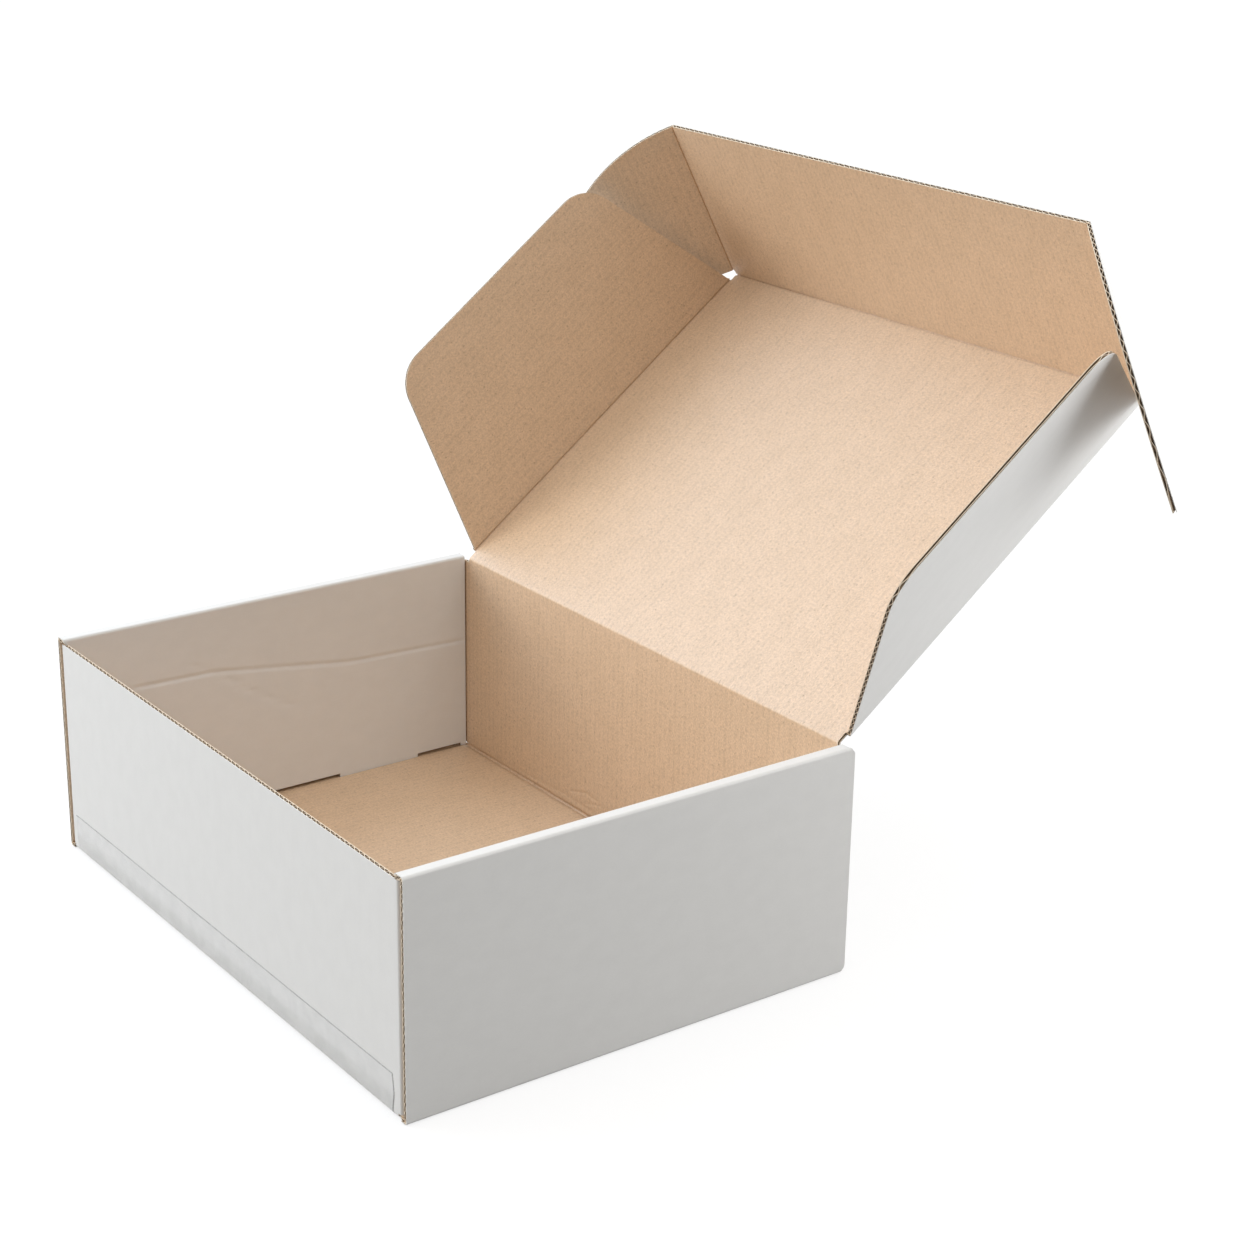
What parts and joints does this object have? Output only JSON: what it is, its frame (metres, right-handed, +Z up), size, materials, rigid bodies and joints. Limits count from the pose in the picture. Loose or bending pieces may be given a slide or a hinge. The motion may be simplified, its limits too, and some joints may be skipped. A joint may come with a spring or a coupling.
{
  "type": "corrugated mailer box",
  "caption": "Open self-locking corrugated mailer: a tray with double side walls, a hinged lid with side flaps, and a tuck flap with rounded ears; white outside, kraft inside.",
  "frame": {"origin": "centre of the tray's bottom face, on the surface that the box stands on", "axes": "+X to the right across the box, +Y from the front wall to the rear wall where the lid hinges, +Z up"},
  "size_m": [0.3828, 0.3572, 0.2874],
  "materials": {
    "white_board": "matte white liner outside, brown kraft liner inside",
    "clear_tape": "clear glossy film"
  },
  "bodies": {
    "tray": {"tray": "white_board", "front_tape": "clear_tape"},
    "lid": {"lid": "white_board"},
    "left_flap": {"lid_left_flap": "white_board"},
    "right_flap": {"lid_right_flap": "white_board"},
    "tuck": {"tuck_flap": "white_board"},
    "left_ear": {"tuck_left_ear": "white_board"},
    "right_ear": {"tuck_right_ear": "white_board"}
  },
  "joints": [
    {"name": "lid_hinge", "type": "hinge", "parent": "tray", "child": "lid", "pos_m": [0, 0.1006, 0.0961], "axis": [1, 0, 0], "range_deg": [-60, 70]},
    {"name": "left_flap_crease", "type": "hinge", "parent": "lid", "child": "left_flap", "pos_m": [-0.1329, 0.1006, 0.0961], "axis": [0, 0.7986, 0.6018], "range_deg": [-4, 38]},
    {"name": "right_flap_crease", "type": "hinge", "parent": "lid", "child": "right_flap", "pos_m": [0.1329, 0.1006, 0.0961], "axis": [0, -0.7986, -0.6018], "range_deg": [-2.5, 56]},
    {"name": "tuck_crease", "type": "hinge", "parent": "lid", "child": "tuck", "pos_m": [0, 0.25474, 0.21225], "axis": [1, 0, 0], "range_deg": [-81, 2.5]},
    {"name": "left_ear_crease", "type": "hinge", "parent": "tuck", "child": "left_ear", "pos_m": [-0.1329, 0.25474, 0.21225], "axis": [0, -0.4772, 0.8788], "range_deg": [-53, 6]},
    {"name": "right_ear_crease", "type": "hinge", "parent": "tuck", "child": "right_ear", "pos_m": [0.1329, 0.25474, 0.21225], "axis": [0, 0.4772, -0.8788], "range_deg": [-40.5, 2]}
  ]
}
